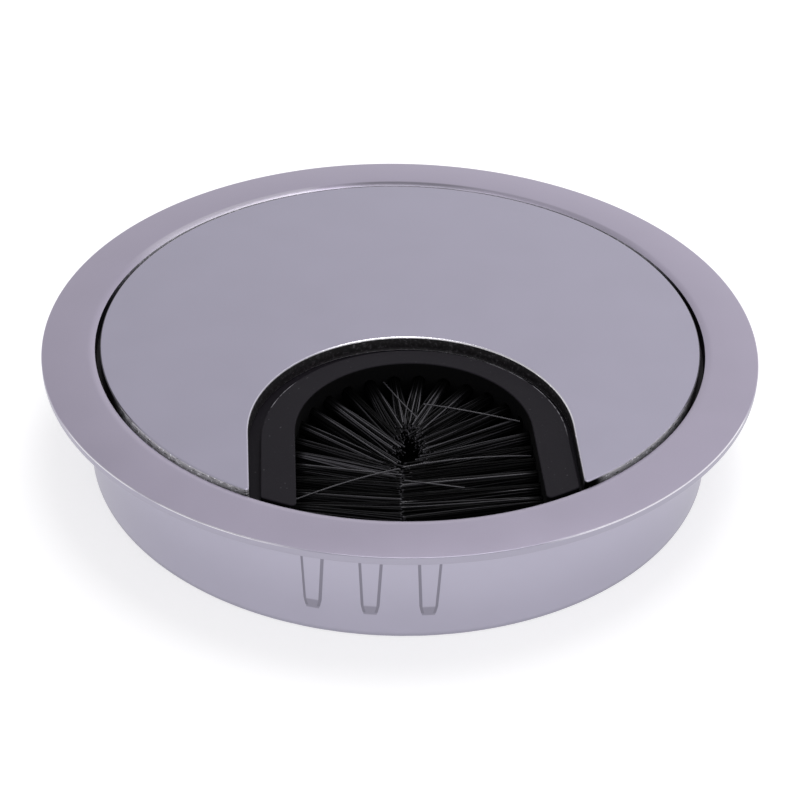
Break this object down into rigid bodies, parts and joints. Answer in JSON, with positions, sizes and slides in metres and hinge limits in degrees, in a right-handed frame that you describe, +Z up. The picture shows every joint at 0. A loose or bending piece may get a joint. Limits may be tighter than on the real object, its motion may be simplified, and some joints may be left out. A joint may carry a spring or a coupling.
{
  "type": "cable grommet",
  "caption": "Round die-cast desk grommet: a flanged tube with a lid lying in it, and an arch-shaped outlet closed by a brush that lets cables through.",
  "frame": {"origin": "on the tube's axis, at the plane of the tube's lower rim", "axes": "+Z up along the tube's axis, towards the flange and the lid; the lid's cut-out opens towards -Y"},
  "size_m": [0.09, 0.09, 0.0161],
  "materials": {
    "housing_metal": "satin chrome on a zinc casting",
    "lid_metal": "satin chrome on a zinc casting",
    "frame_plastic": "black moulded plastic, fine spark-eroded face",
    "bristle_nylon": "black nylon filament, slight sheen",
    "screw_steel": "zinc-plated steel"
  },
  "bodies": {
    "root": {"housing": "housing_metal", "lid": "lid_metal", "brush_frame": "frame_plastic", "frame_screws": "screw_steel", "bristle_tuft_01": "bristle_nylon", "bristle_tuft_02": "bristle_nylon", "bristle_tuft_03": "bristle_nylon", "bristle_tuft_04": "bristle_nylon", "bristle_tuft_05": "bristle_nylon", "bristle_tuft_06": "bristle_nylon", "bristle_tuft_07": "bristle_nylon", "bristle_tuft_08": "bristle_nylon", "bristle_tuft_09": "bristle_nylon", "bristle_tuft_10": "bristle_nylon", "bristle_tuft_11": "bristle_nylon", "bristle_tuft_12": "bristle_nylon", "bristle_tuft_13": "bristle_nylon", "bristle_tuft_14": "bristle_nylon", "bristle_tuft_15": "bristle_nylon", "bristle_tuft_16": "bristle_nylon", "bristle_tuft_17": "bristle_nylon", "bristle_tuft_18": "bristle_nylon", "bristle_tuft_19": "bristle_nylon", "bristle_tuft_20": "bristle_nylon", "bristle_tuft_21": "bristle_nylon", "bristle_tuft_22": "bristle_nylon", "bristle_tuft_23": "bristle_nylon", "bristle_tuft_24": "bristle_nylon"}
  },
  "joints": []
}
